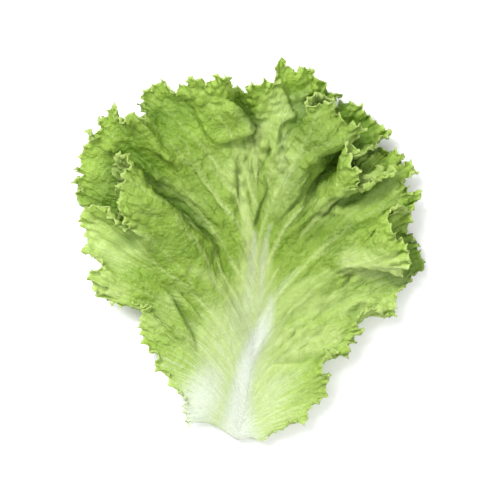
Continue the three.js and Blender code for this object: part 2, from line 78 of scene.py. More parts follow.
RIGHT_MARGIN = {
    "crown_frill": [(251, 91, 21), (247, 88, 25), (249, 83, 26), (256, 84, 25), (264, 81, 26),
        (270, 80, 24), (272, 85, 22), (277, 86, 20)],
    "horn": [(281, 80, 22), (278, 74, 24), (273, 69, 26), (277, 63, 28), (283, 59, 28), (287, 62, 26),
        (285, 67, 24), (291, 70, 22), (297, 71, 22), (301, 65, 21), (304, 71, 22), (310, 71, 22),
        (315, 68, 20), (314, 76, 20), (319, 82, 17), (327, 84, 14), (327, 91, 13), (333, 93, 12),
        (339, 91, 11), (342, 97, 10)],
    "flap": [(335, 99, 14), (328, 96, 19), (321, 94, 24), (313, 99, 29), (305, 102, 33),
        (308, 106, 34), (313, 108, 34), (319, 106, 34), (325, 101, 33), (334, 102, 32), (336, 111, 31),
        (340, 119, 31), (347, 121, 32), (354, 126, 33), (361, 126, 33), (367, 129, 33), (364, 134, 31),
        (357, 137, 27), (348, 140, 22), (338, 141, 18)],
    "back": [(331, 132, 15), (331, 120, 13), (335, 109, 11), (341, 100, 9), (349, 99, 9),
        (355, 102, 12), (358, 107, 13), (361, 103, 12), (361, 110, 13), (367, 112, 12), (373, 116, 10),
        (378, 123, 9), (384, 129, 10), (390, 130, 12), (395, 134, 12), (391, 137, 13), (385, 138, 15),
        (380, 142, 17), (378, 147, 19)],
    "curl": [(371, 152, 22), (364, 150, 27), (357, 149, 29), (350, 144, 31), (344, 144, 32),
        (347, 151, 34), (351, 158, 34), (354, 166, 33), (361, 167, 33), (359, 176, 31), (361, 187, 29),
        (366, 189, 30), (366, 181, 30), (372, 178, 28), (383, 177, 27), (388, 174, 27), (397, 172, 26),
        (396, 165, 24), (389, 169, 19), (377, 172, 13), (364, 172, 10), (355, 164, 8), (356, 154, 7),
        (368, 150, 7)],
    "ear": [(378, 152, 7), (383, 148, 8), (389, 149, 9), (389, 158, 7), (396, 157, 9), (394, 150, 10),
        (400, 149, 12), (405, 156, 12), (399, 162, 11), (402, 166, 12), (407, 162, 13), (412, 161, 13),
        (418, 174, 12), (409, 174, 14), (403, 182, 15), (405, 191, 16), (412, 193, 16), (418, 188, 14),
        (421, 194, 12), (415, 202, 14), (414, 210, 17)],
    "fan": [(407, 211, 21), (400, 205, 25), (391, 205, 29), (387, 213, 32), (389, 221, 33),
        (392, 229, 33), (396, 237, 32), (404, 239, 31), (405, 248, 31), (411, 256, 30), (409, 263, 28),
        (403, 268, 25), (400, 276, 17)],
    "under": [(405, 267, 14), (402, 248, 11), (390, 234, 12), (383, 220, 14), (386, 209, 16),
        (396, 207, 18), (406, 212, 19), (411, 218, 18), (409, 227, 15), (408, 231, 12),
        (417, 238, 8), (410, 242, 9), (420, 244, 7), (419, 249, 8), (424, 251, 6), (420, 256, 7),
        (424, 260, 5), (423, 268, 5), (420, 274, 5), (412, 274, 7), (410, 282, 7), (404, 287, 10),
        (397, 293, 16)],
    "heel": [(398, 300, 14), (398, 306, 12), (393, 308, 14), (398, 310, 11), (396, 315, 10),
        (389, 318, 10), (384, 315, 13), (381, 310, 17), (374, 308, 19), (366, 310, 19), (360, 314, 19),
        (358, 321, 18), (359, 328, 15), (364, 332, 12), (358, 334, 14), (353, 336, 15), (358, 341, 12),
        (354, 344, 14), (349, 343, 16), (350, 350, 13), (350, 358, 10), (344, 357, 12), (339, 350, 16),
        (333, 349, 19)],
    "foot": [(330, 356, 18), (324, 362, 21), (322, 368, 22), (327, 372, 18), (331, 376, 14),
        (328, 380, 14), (326, 387, 13), (327, 395, 11), (320, 402, 11), (313, 402, 14), (308, 408, 14),
        (308, 418, 11), (305, 424, 10), (297, 421, 13), (289, 417, 16), (288, 425, 12), (282, 428, 11),
        (270, 432, 9)],
}
SAMPLE_STEP = 0.5
MARGIN_ROUNDING = 0.45


def at_place(x, y, height=0):
    return (x - REST_PLACE[0]) * PLACE_STEP, (REST_PLACE[1] - y) * PLACE_STEP, height


def marks_along(points):
    steps = np.linalg.norm(np.diff(points, axis=0), axis=1)
    marks = np.concatenate([[0], np.cumsum(steps)])
    return marks / marks[-1], marks[-1]


def read_line(points, marks, shares):
    return np.stack([np.interp(shares, marks, points[:, k]) for k in range(3)], axis=-1)


def smoothed(points, length):
    spread = length / SAMPLE_STEP
    reach = math.ceil(3 * spread)
    weights = np.exp(-0.5 * (np.arange(-reach, reach + 1) / spread) ** 2)
    weights /= weights.sum()
    before = 2 * points[0] - points[reach:0:-1]
    after = 2 * points[-1] - points[-2:-reach - 2:-1]
    longer = np.concatenate([before, points, after])
    return np.stack([np.convolve(longer[:, k], weights, "valid") for k in range(3)], axis=-1)


left_places = [place for stretch in LEFT_MARGIN.values() for place in stretch]
right_places = [place for stretch in RIGHT_MARGIN.values() for place in stretch]
margin_places = np.array([at_place(*place) for place in left_places + right_places], float)
heights = margin_places[:, 2].copy()
margin_places[1:-1, 2] = (heights[:-2] + 2 * heights[1:-1] + heights[2:]) / 4
margin_marks, margin_length = marks_along(margin_places)
tip_share = margin_marks[len(left_places)]

sample_count = round(margin_length / SAMPLE_STEP) + 1
sample_shares = np.linspace(0, 1, sample_count)
margin_samples = smoothed(read_line(margin_places, margin_marks, sample_shares), MARGIN_ROUNDING)


# The blade
# One thin sheet, smooth along the midrib and gathered towards the margin, so that it stands in
# folds. Each ring of it is a smoother copy of the margin; the innermost ring is the midrib.
MIDRIB = [(237, 440, 5.5), (245, 402, 5), (252, 360, 4.4), (257, 320, 3.2), (259, 280, 2.2),
    (258, 240, 2), (257, 205, 3.6), (256, 170, 9)]
FOLDS = [
    {"course": [(222, 270), (206, 260), (190, 247), (174, 231), (163, 212), (152, 191), (136, 170)],
        "height": 4, "reach": 10},
    {"course": [(170, 148), (156, 136), (142, 122)], "height": 4, "reach": 8},
    {"course": [(150, 294), (165, 290), (174, 309), (188, 330), (200, 352)],
        "height": -4, "reach": 9},
    {"course": [(170, 286), (184, 298), (204, 322)], "height": -2, "reach": 6},
    {"course": [(222, 148), (240, 138), (256, 132), (250, 119), (238, 110), (228, 100)],
        "height": 6, "reach": 8},
    {"course": [(296, 236), (300, 207), (306, 185), (321, 166), (341, 148), (357, 135)],
        "height": 7, "reach": 13},
    {"course": [(318, 214), (334, 196), (356, 187), (380, 176)], "height": 1, "reach": 10},
    {"course": [(300, 270), (330, 256), (362, 250), (398, 266)], "height": 1.5, "reach": 12},
]
RIB_CROWDING = 1.8
RIB_LEAN = 0.5
BOWL = 1.5
SMOOTHING_LENGTHS = [0, 1.5, 3, 5, 8, 12, 18, 26, 38, 55]
SMOOTHING_RATE = 1.1
RING_COUNT = 64
EDGE_STEP = 0.8
MIDRIB_STEPS = 130
ACROSS_AT_MARGIN = 0.75
ACROSS_INSIDE = 1.5
BLADE_EASING = 40
BLADE_THICKNESS = 0.5
WIDENING_RINGS = 12
RIB_BEND = 0.45
FOLD_FADE = 0.15
FRILL_FADE = 0.25
EASING_SHARE = 0.6
MIDRIB_CURVE_STEPS = 40
FOLD_CURVE_STEPS = 6
PAST_THE_END = 9


def smoothstep(low, high, value):
    part = np.clip((value - low) / (high - low), 0, 1)
    return part * part * (3 - 2 * part)


def unit(vectors):
    return vectors / np.maximum(np.linalg.norm(vectors, axis=-1, keepdims=True), 1e-9)


def through(places, steps):
    """A smooth curve through the places, with this many steps from each to the next."""
    points = np.array([at_place(*place) for place in places], float)
    points = np.concatenate([[2 * points[0] - points[1]], points, [2 * points[-1] - points[-2]]])
    roots = np.sqrt(np.linalg.norm(np.diff(points, axis=0), axis=1))
    course = []
    for i in range(1, len(points) - 2):
        a, b, c, d = points[i - 1:i + 3]
        before, here, after = roots[i - 1:i + 2]
        leave = here * ((b - a) / before - (c - a) / (before + here) + (c - b) / here)
        arrive = here * ((c - b) / here - (d - b) / (here + after) + (d - c) / after)
        t = np.linspace(0, 1, steps, endpoint=False)[:, None]
        course.append(b + leave * t + (3 * (c - b) - 2 * leave - arrive) * t**2
            + (2 * (b - c) + leave + arrive) * t**3)
    return np.concatenate([*course, points[-2:-1]])


midrib = through(MIDRIB, MIDRIB_CURVE_STEPS)
midrib_marks = np.linspace(0, 1, len(midrib))
midrib_ways = unit(np.gradient(midrib, axis=0) * (1, 1, 0))
folds = []
for fold in FOLDS:
    line = through(fold["course"], FOLD_CURVE_STEPS)
    folds.append((line, marks_along(line)[0], fold["height"], fold["reach"]))

margin_copies = np.stack([margin_samples] + [smoothed(margin_samples, length)
    for length in SMOOTHING_LENGTHS[1:]])
outline = margin_copies[-1]
tip_sample = round(tip_share * (sample_count - 1))
outline_steps = np.linalg.norm(np.diff(outline, axis=0), axis=1)
climb = np.zeros(sample_count)
climb[1:tip_sample + 1] = np.cumsum(outline_steps[:tip_sample])
climb[:tip_sample + 1] /= climb[tip_sample]
climb[tip_sample + 1:-1] = np.cumsum(outline_steps[:tip_sample:-1])[::-1]
climb[tip_sample + 1:] /= climb[tip_sample + 1]


def at_samples(values, shares):
    place = shares * (sample_count - 1)
    low = np.minimum(place.astype(int), sample_count - 2)
    part = (place - low).reshape(shares.shape + (1,) * (values.ndim - 1))
    return values[low] * (1 - part) + values[low + 1] * part


def rib_start(shares):
    return at_samples(climb, shares) ** RIB_CROWDING


def margin_copy(shares, lengths):
    """The margin as it shows at this distance from the edge: the farther in, the smoother."""
    level = np.interp(lengths, SMOOTHING_LENGTHS, range(len(SMOOTHING_LENGTHS)))
    low = np.minimum(level.astype(int), len(SMOOTHING_LENGTHS) - 2)
    part = (level - low)[:, None]
    place = shares * (sample_count - 1)
    first = np.minimum(place.astype(int), sample_count - 2)
    step = (place - first)[:, None]
    lower = margin_copies[low, first] * (1 - step) + margin_copies[low, first + 1] * step
    upper = margin_copies[low + 1, first] * (1 - step) + margin_copies[low + 1, first + 1] * step
    return lower * (1 - part) + upper * part


def beside(points, line, marks):
    """How far each point is from a line, on which side of it, how far along it, and its way."""
    ways = np.diff(line[:, :2], axis=0)
    gaps = points[:, None, :2] - line[:-1, :2]
    part = np.clip((gaps * ways).sum(-1) / (ways**2).sum(-1), 0, 1)
    apart = np.linalg.norm(gaps - part[..., None] * ways, axis=-1)
    nearest = apart.argmin(axis=1)
    row = np.arange(len(points))
    gap = gaps[row, nearest]
    way = ways[nearest]
    side = np.sign(way[:, 0] * gap[:, 1] - way[:, 1] * gap[:, 0])
    along = marks[nearest] + part[row, nearest] * np.diff(marks)[nearest]
    return apart[row, nearest], side, along, unit(way)


def folded_height(points):
    rise = np.zeros(len(points))
    for line, marks, height, reach in folds:
        apart, side, along, _ = beside(points, line, marks)
        across = apart / reach
        fading = np.sqrt(np.clip(np.sin(math.pi * along), 0, 1))
        rise += side * height * fading * np.tanh(2 * across) * np.exp(-across**2 / 2)
    return rise


def rib_lengths(shares):
    foot = read_line(midrib, midrib_marks, rib_start(shares))
    return np.linalg.norm((at_samples(outline, shares) - foot)[:, :2], axis=1)


def blade_points(shares, depths):
    """Points of the blade, each at its share of the margin and its depth, 1 at the midrib."""
    start = rib_start(shares)
    foot = read_line(midrib, midrib_marks, start)
    end = at_samples(outline, shares)
    straight = (end - foot) * (1, 1, 0)
    length = np.linalg.norm(straight, axis=1)[:, None]
    lean = (RIB_LEAN * smoothstep(0, 0.04, start))[:, None]
    upward = unit(read_line(midrib_ways, midrib_marks, start))
    aim = unit(unit(straight) * (1 - lean) + upward * lean)
    depth = depths[:, None]
    out = 1 - depth
    bend = foot + aim * length * RIB_BEND
    points = foot * depth**2 + bend * 2 * depth * out + end * out**2
    points[:, 2] = foot[:, 2] + (end[:, 2] - foot[:, 2]) * out[:, 0] ** BOWL
    near_edge = smoothstep(0, FOLD_FADE, depths) * smoothstep(0, FOLD_FADE, out[:, 0])
    points[:, 2] += folded_height(points) * near_edge
    reach = np.minimum(SMOOTHING_RATE * depths * length[:, 0], SMOOTHING_LENGTHS[-1])
    return points + (margin_copy(shares, reach) - end) * smoothstep(0, FRILL_FADE, out)


def ring_depths(shares, ring):
    power = np.log(EDGE_STEP / rib_lengths(shares)) / math.log(1 / RING_COUNT)
    return (ring / RING_COUNT) ** power


ring_shares = []
ring_points = []
blade = []
blade_share = []
blade_depth = []
for ring in range(RING_COUNT):
    course = blade_points(sample_shares, ring_depths(sample_shares, ring))
    marks, length = marks_along(course)
    across = ACROSS_AT_MARGIN + (ACROSS_INSIDE - ACROSS_AT_MARGIN) * min(ring / WIDENING_RINGS, 1)
    shares = np.interp(np.linspace(0, 1, round(length / across) + 1), marks, sample_shares)
    depths = ring_depths(shares, ring)
    ring_points.append(np.arange(len(shares)) + sum(map(len, blade)))
    ring_shares.append(shares)
    blade.append(blade_points(shares, depths))
    blade_share.append(shares)
    blade_depth.append(depths)

# The innermost ring runs up the midrib and down again through the same points
midrib_starts = np.linspace(0, 1, MIDRIB_STEPS + 1)
climbs = midrib_starts ** (1 / RIB_CROWDING)
upward = np.interp(climbs, climb[:tip_sample + 1], sample_shares[:tip_sample + 1])
downward = np.interp(climbs, climb[:tip_sample:-1], sample_shares[:tip_sample:-1])
midrib_points = np.arange(MIDRIB_STEPS + 1) + sum(map(len, blade))
ring_points.append(np.concatenate([midrib_points, midrib_points[-2::-1]]))
ring_shares.append(np.concatenate([upward, downward[-2::-1]]))
blade.append(read_line(midrib, midrib_marks, midrib_starts))
blade_share.append(upward)
blade_depth.append(np.ones(MIDRIB_STEPS + 1))
blade = np.concatenate(blade)
blade_share = np.concatenate(blade_share)
blade_depth = np.concatenate(blade_depth)

faces = []
for ring in range(RING_COUNT):
    outer, inner = ring_points[ring].tolist(), ring_points[ring + 1].tolist()
    outer_shares, inner_shares = ring_shares[ring].tolist(), ring_shares[ring + 1].tolist()
    i = j = 0
    while i < len(outer) - 1 or j < len(inner) - 1:
        outer_next = outer_shares[i] + outer_shares[i + 1] if i < len(outer) - 1 else PAST_THE_END
        inner_next = inner_shares[j] + inner_shares[j + 1] if j < len(inner) - 1 else PAST_THE_END
        if outer_next < inner_next:
            faces.append((outer[i], inner[j], outer[i + 1]))
            i += 1
        else:
            faces.append((outer[i], inner[j], inner[j + 1]))
            j += 1
faces = np.array(faces)
sides = np.concatenate([faces[:, [0, 1]], faces[:, [1, 2]], faces[:, [2, 0]]])
sides = np.unique(np.sort(sides, axis=1), axis=0)
sides = np.concatenate([sides, sides[:, ::-1]])
neighbour_count = np.bincount(sides[:, 0], minlength=len(blade))


def around(values):
    """What the neighbours of each point have on average."""
    if values.ndim == 1:
        return np.bincount(sides[:, 0], values[sides[:, 1]], len(values)) / neighbour_count
    return np.stack([around(values[:, k]) for k in range(values.shape[1])], axis=-1)


def normals(points):
    corners = points[faces]
    turned = np.cross(corners[:, 1] - corners[:, 0], corners[:, 2] - corners[:, 0])
    total = np.zeros_like(points)
    for k in range(3):
        for axis in range(3):
            total[:, axis] += np.bincount(faces[:, k], turned[:, axis], len(points))
    return unit(total)


fixed = np.zeros(len(blade), bool)
fixed[ring_points[0]] = True
fixed[midrib_points[:-1]] = True
for points in ring_points[:-1]:
    fixed[points[[0, -1]]] = True
for _ in range(BLADE_EASING):
    eased = blade + EASING_SHARE * (around(blade) - blade)
    blade[~fixed] = eased[~fixed]


# Sharper creases, where one stretch of the blade leans over the next
CREASES = [
    {"course": [(214, 250), (205, 238), (191, 223), (172, 206), (153, 194), (138, 184)],
        "height": 4.5, "reach": 5, "lean": 3},
    {"course": [(190, 162), (204, 184), (216, 199), (224, 213), (225, 224)],
        "height": 2.4, "reach": 4, "lean": 2},
    {"course": [(214, 230), (220, 240), (227, 252), (234, 268)],
        "height": 1, "reach": 3.5, "lean": 0.8},
    {"course": [(168, 150), (156, 136), (142, 122)], "height": 2.5, "reach": 6, "lean": 1.5},
    {"course": [(212, 146), (203, 132), (194, 117), (182, 106)], "height": 2.4, "reach": 5,
        "lean": 1.8},
    {"course": [(255, 132), (246, 120), (236, 110), (222, 100)], "height": 9, "reach": 6,
        "lean": 4.4, "sharp_start": True},
    {"course": [(216, 145), (234, 140), (254, 133)], "height": 2.6, "reach": 4, "lean": 1.6,
        "sharp_end": True},
    {"course": [(300, 212), (306, 189), (322, 167), (342, 150), (357, 140)],
        "height": 4, "reach": 7, "lean": 3.2},
    {"course": [(150, 288), (164, 290), (176, 308), (188, 330), (200, 350)],
        "height": -3.4, "reach": 5, "lean": 3},
    {"course": [(168, 284), (184, 298), (206, 324)], "height": -2, "reach": 4, "lean": 1.8},
    {"course": [(252, 232), (256, 214), (262, 198), (270, 180)], "height": 2.6, "reach": 5,
        "lean": 2},
    {"course": [(272, 276), (284, 260), (298, 242), (306, 226)], "height": -2.2, "reach": 5,
        "lean": 1.6},
    {"course": [(306, 290), (322, 281), (344, 268)], "height": -2, "reach": 5, "lean": 1.2},
    {"course": [(258, 372), (276, 364), (300, 363), (322, 354)], "height": -2.4, "reach": 4,
        "lean": 2},
    {"course": [(270, 330), (290, 322), (318, 312)], "height": -1.4, "reach": 4, "lean": 1},
    {"course": [(296, 118), (288, 104), (281, 84)], "height": 2.6, "reach": 5, "lean": 2},
    {"course": [(240, 210), (236, 186), (232, 160)], "height": 1.8, "reach": 4, "lean": 1.2},
    {"course": [(276, 200), (286, 182), (292, 160)], "height": -1.8, "reach": 4, "lean": 1.2},
    {"course": [(188, 190), (176, 175), (164, 166)], "height": 2.2, "reach": 4, "lean": 1.5},
    {"course": [(150, 168), (140, 160), (128, 158)], "height": 2.5, "reach": 5, "lean": 1},
]
# Broad swells, each with its place, how far it reaches and how high it stands
SWELLS = [
    {"place": (370, 197), "reach": 17, "height": 9},
    {"place": (366, 160), "reach": 10, "height": 6},
    {"place": (378, 268), "reach": 15, "height": 4},
    {"place": (268, 142), "reach": 11, "height": 4},
    {"place": (150, 240), "reach": 18, "height": 2},
    {"place": (170, 172), "reach": 9, "height": -2},
]
# Where a stretch of the blade is drawn sideways, with its reach and pull in steps of a place
DRAWN = [
    {"place": (170, 222), "reach": 20, "by": (8, -12)},
    {"place": (194, 250), "reach": 22, "by": (12, -8)},
]
CREASE_CURVE_STEPS = 8
SHARP_END = 0.02
SOFT_END = 0.3
CALM_BESIDE_CREASE = 4
OVERHANG_HEIGHT = 24

for pull in DRAWN:
    apart = np.linalg.norm(blade[:, :2] - at_place(*pull["place"])[:2], axis=1) / PLACE_STEP
    share = np.exp(-(apart / pull["reach"]) ** 2)
    blade[:, 0] += pull["by"][0] * PLACE_STEP * share
    blade[:, 1] -= pull["by"][1] * PLACE_STEP * share
room = smoothstep(1, 6, blade_depth * rib_lengths(blade_share))
for swell in SWELLS:
    apart = np.linalg.norm(blade[:, :2] - at_place(*swell["place"])[:2], axis=1)
    sheet = np.exp(-(apart / swell["reach"]) ** 2) * (blade[:, 2] < OVERHANG_HEIGHT)
    blade[:, 2] += swell["height"] * sheet * room
creased = np.zeros(len(blade))
for crease in CREASES:
    line = through(crease["course"], CREASE_CURVE_STEPS)
    apart, side, along, way = beside(blade, line, marks_along(line)[0])
    across = side * apart / crease["reach"]
    start = SHARP_END if "sharp_start" in crease else SOFT_END
    end = SHARP_END if "sharp_end" in crease else SOFT_END
    fading = smoothstep(0, start, along) * smoothstep(0, end, 1 - along) * room
    creased = np.maximum(creased, fading * np.exp(-(apart / CALM_BESIDE_CREASE) ** 2))
    blade[:, 2] += crease["height"] * fading * np.tanh(3 * across) * np.exp(-across**2 / 2)
    shift = crease["lean"] * fading * np.tanh(4 * across) * np.exp(-(across / 0.8) ** 2)
    blade[:, 0] += way[:, 1] * shift
    blade[:, 1] -= way[:, 0] * shift
blade[:, 2] = np.maximum(blade[:, 2], BLADE_THICKNESS)

# The torn base curves in between its left corner and the end of the midrib
TEAR_CORNER_PLACE = (187, 427)
TEAR_END_PLACE = (237, 441)
TEAR_DEPTH = 6
TEAR_REACH = 12
TEAR_SKEW = 0.8
LOBE_PLACE = (262, 436)
LOBE_DROP = 4
LOBE_HALF_WIDTH = 4.5
LOBE_REACH = 7

corner = np.array(at_place(*TEAR_CORNER_PLACE))
end = np.array(at_place(*TEAR_END_PLACE))
torn = np.clip((blade[:, 0] - corner[0]) / (end[0] - corner[0]), 0, 1)
above_tear = blade[:, 1] - (corner[1] + (end[1] - corner[1]) * torn)
near_tear = np.exp(-np.maximum(above_tear, 0) / TEAR_REACH)
blade[:, 1] += TEAR_DEPTH * np.sin(math.pi * torn ** TEAR_SKEW) * near_tear
lobe = np.array(at_place(*LOBE_PLACE))
bulge = np.exp(-(((blade[:, 0] - lobe[0]) / LOBE_HALF_WIDTH) ** 2)
    - np.abs(blade[:, 1] - lobe[1]) / LOBE_REACH)
blade[:, 1] -= LOBE_DROP * bulge


# Ribs, veins and blisters
# The side ribs fan out from the midrib and fork. Between them the tissue swells up in blisters,
# and the edge is gathered in small ruffles and cut in teeth.
RIB_DEPTH_AT_BASE = 4.6
RIB_DEPTH_AT_TIP = 0.5
RIB_HALF_WIDTH_AT_BASE = 15
RIB_HALF_WIDTH_AT_TIP = 3
RIB_NARROWING = 1.3
REST_HALF_WIDTH = 8
REST_HALF_LENGTH = 16
CURL_BEND = 30
CURL_TOP = 35.5
VEINS_A_SIDE = 13
FORKS = 3
BLISTER_AT_MARGIN = 3.6
BLISTER_INSIDE = 7.5
BLISTER_HEIGHT = 0.37
RIDGE_HEIGHT = 1.3
RUFFLE_PERIOD = 8
RUFFLE_HEIGHT = 1.5
MASK_CURVE_STEPS = 12
NO_STRETCH = 1000.0
MIDRIB_STRETCH = 400
# Half a turn and a whole one in radians, rounded
HALF_TURN = 3.14
FULL_TURN = 6.28
TOOTH_PERIOD = 6
TOOTH_LENGTH = 2.2
SCALLOP_PERIOD = 14.5
SCALLOP_DEPTH = 3.2
TOOTHED_RINGS = 6
RINGS_INWARD = 4
STRETCH_SPAN = 12
SEED_CELL = 8

random =np.random.default_rng(11)


def swirl(size, start):
    """Three smooth random values at each point of the blade, with swells about this large."""
    return np.array([[noise.noise(Vector(point / size + start + more)) for more in (0, 31, 57)]
        for point in blade])


def line_mask(places, widths):
    """How near each point is to a line of places, 1 on it and fading over its half width."""
    line = through(places, MASK_CURVE_STEPS)
    wide = np.interp(np.linspace(0, 1, len(line)), np.linspace(0, 1, len(widths)), widths)
    gaps = np.linalg.norm(blade[:, None, :2] - line[None, :, :2], axis=-1) / wide
    return np.exp(-gaps.min(axis=1) ** 2)


blade_length = rib_lengths(blade_share)
from_edge = blade_depth * blade_length
from_midrib = (1 - blade_depth) * blade_length

# How many millimetres of a ring a whole share of the margin takes up at each point
stretch = np.full(len(blade), NO_STRETCH)
for points, shares in zip(ring_points[:-1], ring_shares[:-1]):
    gaps = np.linalg.norm(np.diff(blade[points], axis=0), axis=1)
    rate = np.pad(gaps / np.diff(shares), STRETCH_SPAN // 2, "edge")
    rate = np.convolve(rate, np.ones(STRETCH_SPAN) / STRETCH_SPAN, "valid")
    stretch[points] = rate[:len(points)]
stretch[midrib_points] = MIDRIB_STRETCH

vein = np.zeros(len(blade))
for side in (0, 1):
    for k in range(VEINS_A_SIDE):
        climb_here = (k + 0.6 + random.uniform(-0.25, 0.25)) / VEINS_A_SIDE
        if side == 0:
            root = np.interp(climb_here, climb[:tip_sample + 1], sample_shares[:tip_sample + 1])
        else:
            root = np.interp(climb_here, climb[:tip_sample:-1], sample_shares[:tip_sample:-1])
        sway = random.uniform(-0.006, 0.006)
        swing = random.uniform(0, FULL_TURN)
        for fork in range(FORKS + 1):
            leave = 1 if fork == 0 else 0.85 - 0.22 * fork + random.uniform(-0.08, 0.08)
            spread = 0 if fork == 0 else (-1) ** (fork + k) * random.uniform(0.012, 0.024)
            out = 1 - blade_depth
            past = np.clip(1 - blade_depth / leave, 0, 1) if fork else out
            course = root + sway * np.sin(5 * out + swing) * out + spread * past**0.8
            gap = np.abs(blade_share - course) * stretch
            wide = (0.6 + 2.2 * blade_depth**2) * (1 if fork == 0 else 0.6)
            strength = np.exp(-(gap / wide) ** 2) * (1 if fork == 0 else 0.7)
            strength = strength * smoothstep(0, 0.1, leave - blade_depth) if fork else strength
            strength = strength * smoothstep(0, 6, from_edge)
            vein = np.maximum(vein, strength)

# Blisters stand round seeds that keep their distance, closer together towards the margin
spacing = BLISTER_AT_MARGIN + (BLISTER_INSIDE - BLISTER_AT_MARGIN) * smoothstep(0, 40, from_edge)
seeds = []
taken = {}
for index in random.permutation(len(blade)).tolist():
    point = blade[index]
    apart = spacing[index]
    cell = tuple((point // SEED_CELL).astype(int))
    near = [seed for dx in (-1, 0, 1) for dy in (-1, 0, 1) for dz in (-1, 0, 1)
        for seed in taken.get((cell[0] + dx, cell[1] + dy, cell[2] + dz), ())]
    if all(((blade[seed] - point) ** 2).sum() > apart * apart for seed in near):
        taken.setdefault(cell, []).append(index)
        seeds.append(index)
tree = kdtree.KDTree(len(seeds))
for number, seed in enumerate(seeds):
    tree.insert(blade[seed], number)
tree.balance()
bent = 2.2 * swirl(6, 0)
net = np.zeros(len(blade))
tint = np.zeros(len(blade))
seed_tints = random.uniform(-1, 1, len(seeds))
for index, point in enumerate(blade):
    nearest, second = tree.find_n(Vector(point) + Vector(bent[index]), 2)
    net[index] = second[2] - nearest[2]
    tint[index] = seed_tints[nearest[1]]
dome = np.clip(net / (0.9 * spacing), 0, 1)
dome = (1 - (1 - dome) ** 2 + smoothstep(0, 1, dome)) / 2
flat = smoothstep(4, 24, from_midrib) * (1 - 0.85 * vein)
flat *= smoothstep(-105, -40, blade[:, 1]) * 0.7 + 0.3
blistered = swirl(30, 7)[:, 0]
flat *= 0.35 + 1.1 * smoothstep(-0.35, 0.3, blistered)
relief = BLISTER_HEIGHT * spacing * dome * flat * (1 + 0.5 * tint)
relief += 0.7 * vein * smoothstep(0.25, 0.8, blade_depth)

# Pleats between the side ribs, none straight for long
out = 1 - blade_depth
place_noise = swirl(24, 17)
fine_noise = swirl(9, 40)
for count, height in ((27, 0.9), (45, 0.6), (76, 0.35)):
    phase = random.uniform(0, FULL_TURN)
    wander = random.uniform(-3, 3)
    wave = np.sin(FULL_TURN * count * blade_share + phase + wander * out + 5 * place_noise[:, 0])
    relief += height * wave * smoothstep(6, 32, from_midrib) * smoothstep(0, 14, from_edge) * (
        0.5 + 1.2 * np.clip(place_noise[:, 1] + 0.3, 0, 1))
crinkle = swirl(4.5, 90)[:, 0]
frilled = np.exp(-from_edge / 14)
relief += smoothstep(5, 30, from_midrib) * (2.2 * place_noise[:, 2]
    + (1.1 + 1.6 * frilled) * fine_noise[:, 0] + (0.5 + 0.9 * frilled) * crinkle)

calm = smoothstep(-98, -30, blade[:, 1])
relief *= 0.2 + 0.8 * calm
fibrous = np.maximum(line_mask([(228, 440), (236, 400), (242, 350), (246, 300), (252, 230)],
    [56, 54, 48, 38, 16]), line_mask([(258, 330), (290, 306), (330, 288)], [16, 14, 8]))
ridges = np.maximum.reduce([
    line_mask([(236, 150), (230, 185), (231, 215), (240, 255)], [2.2, 2.2, 2, 1.6]),
    line_mask([(256, 150), (251, 185), (249, 212), (252, 250)], [2.2, 2.2, 2, 1.6]),
    line_mask([(281, 140), (279, 175), (275, 198), (264, 228), (258, 258)], [2.2, 2.2, 2, 1.8, 1.5]),
    line_mask([(312, 186), (300, 205), (281, 233), (268, 262)], [2.2, 2.2, 2, 1.6]),
])
relief += RIDGE_HEIGHT * ridges
crown = line_mask([(242, 100), (264, 98), (290, 104)], [15, 16, 14])
relief *= (1 - 0.72 * fibrous) * (1 - 0.65 * creased) * (1 - 0.4 * crown)
way = normals(blade)
for _ in range(4):
    way = unit(way + EASING_SHARE * (around(way) - way))
inward = np.zeros_like(blade)
for ring in range(TOOTHED_RINGS):
    inside = ring_points[ring + RINGS_INWARD]
    inside_shares = ring_shares[ring + RINGS_INWARD]
    picked = np.interp(ring_shares[ring], inside_shares, np.arange(len(inside)))
    inward[ring_points[ring]] = unit(blade[inside[picked.round().astype(int)]]
        - blade[ring_points[ring]])
run = blade_share * margin_length
ruffle = np.zeros(len(blade))
for period, height in ((RUFFLE_PERIOD * 1.9, 0.8), (RUFFLE_PERIOD, 1),
        (RUFFLE_PERIOD * 0.55, 0.6)):
    swing = 3 * np.sin(run / 31 + period) + 4 * fine_noise[:, 1] * smoothstep(0, 6, from_edge)
    swell = 0.6 + 0.6 * np.sin(run / 13 + 2 * period)
    ruffle += height * swell * np.sin(FULL_TURN * run / period + swing)
ruffle *= RUFFLE_HEIGHT * np.exp(-((from_edge / 8) ** 1.5)) * (0.5 + 0.5 * calm)
ruffle += 0.9 * np.sin(FULL_TURN * run / 3.6 + 4 * np.sin(run / 23)) * np.exp(-from_edge / 2.5)
turn = HALF_TURN * run / TOOTH_PERIOD + 2.5 * np.sin(run / 17)
tooth = (0.55 - np.hypot(np.sin(turn), 0.3)) * (0.62 + 0.5 * np.sin(run / 9))
tooth += 0.16 * np.sin(FULL_TURN * run / 2.3 + 2 * np.sin(run / 11))
tooth *= TOOTH_LENGTH * np.exp(-from_edge / 2.2)
bay = np.hypot(np.sin(HALF_TURN * run / SCALLOP_PERIOD + 2 * np.sin(run / 23)), 0.3)
tooth += SCALLOP_DEPTH * (0.6 - bay) * np.exp(-from_edge / 6) * (0.3 + 0.7 * calm)
hook = 0.6 * TOOTH_LENGTH * np.sin(2 * turn + 1) * np.exp(-from_edge / 2.2)
relief += ruffle * (1 - 0.4 * crown)
blade = (blade + way * relief[:, None] - inward * tooth[:, None]
    + np.cross(inward, way) * hook[:, None])


